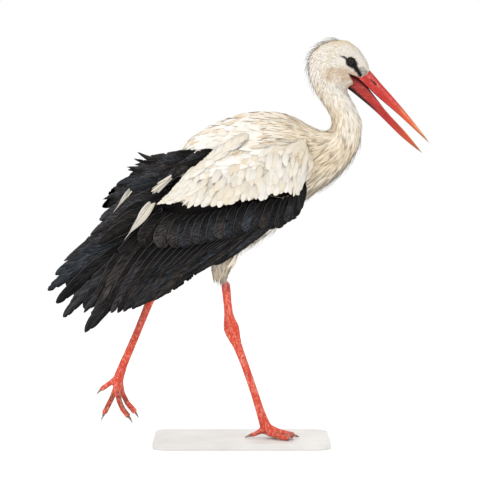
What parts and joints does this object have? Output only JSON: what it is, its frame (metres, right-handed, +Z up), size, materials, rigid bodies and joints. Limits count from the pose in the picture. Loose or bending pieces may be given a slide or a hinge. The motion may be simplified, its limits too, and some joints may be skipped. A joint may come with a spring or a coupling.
{
  "type": "white stork museum model",
  "caption": "Life-size still model of a white stork in mid-stride, bill slightly open, folded wings, one foot planted on a flat base.",
  "frame": {"origin": "centre of the bounding box at the underside of the base", "axes": "+Z up, +X the way the bird faces, so -Y is its right side"},
  "size_m": [0.7848, 0.24, 0.8293],
  "materials": {
    "feathers_white": "cream-white feathers over a solid core",
    "feathers_black": "black flight feathers with a faint gloss",
    "bill_red": "satin red-orange horn",
    "leg_red": "matt red-orange scaly skin",
    "claw_horn": "dark satin horn",
    "eye_dark": "polished dark eye",
    "base_board": "pale satin painted board"
  },
  "bodies": {
    "root": {"head": "feathers_white", "neck_upper": "feathers_white", "neck_lower": "feathers_white", "trunk": "feathers_white", "tail": "feathers_white", "thigh_right": "feathers_white", "thigh_left": "feathers_white", "wing_right_coverts": "feathers_white", "wing_left_coverts": "feathers_white", "wing_right_quills": "feathers_black", "wing_left_quills": "feathers_black", "bill_upper": "bill_red", "bill_lower": "bill_red", "eye_right": "eye_dark", "eye_left": "eye_dark", "shank_right": "leg_red", "shank_left": "leg_red", "tarsus_right": "leg_red", "tarsus_left": "leg_red", "foot_right": "leg_red", "foot_left": "leg_red", "claw_right_middle": "claw_horn", "claw_right_inner": "claw_horn", "claw_right_outer": "claw_horn", "claw_right_hind": "claw_horn", "claw_left_middle": "claw_horn", "claw_left_inner": "claw_horn", "claw_left_outer": "claw_horn", "claw_left_hind": "claw_horn", "stand_base": "base_board"}
  },
  "joints": []
}
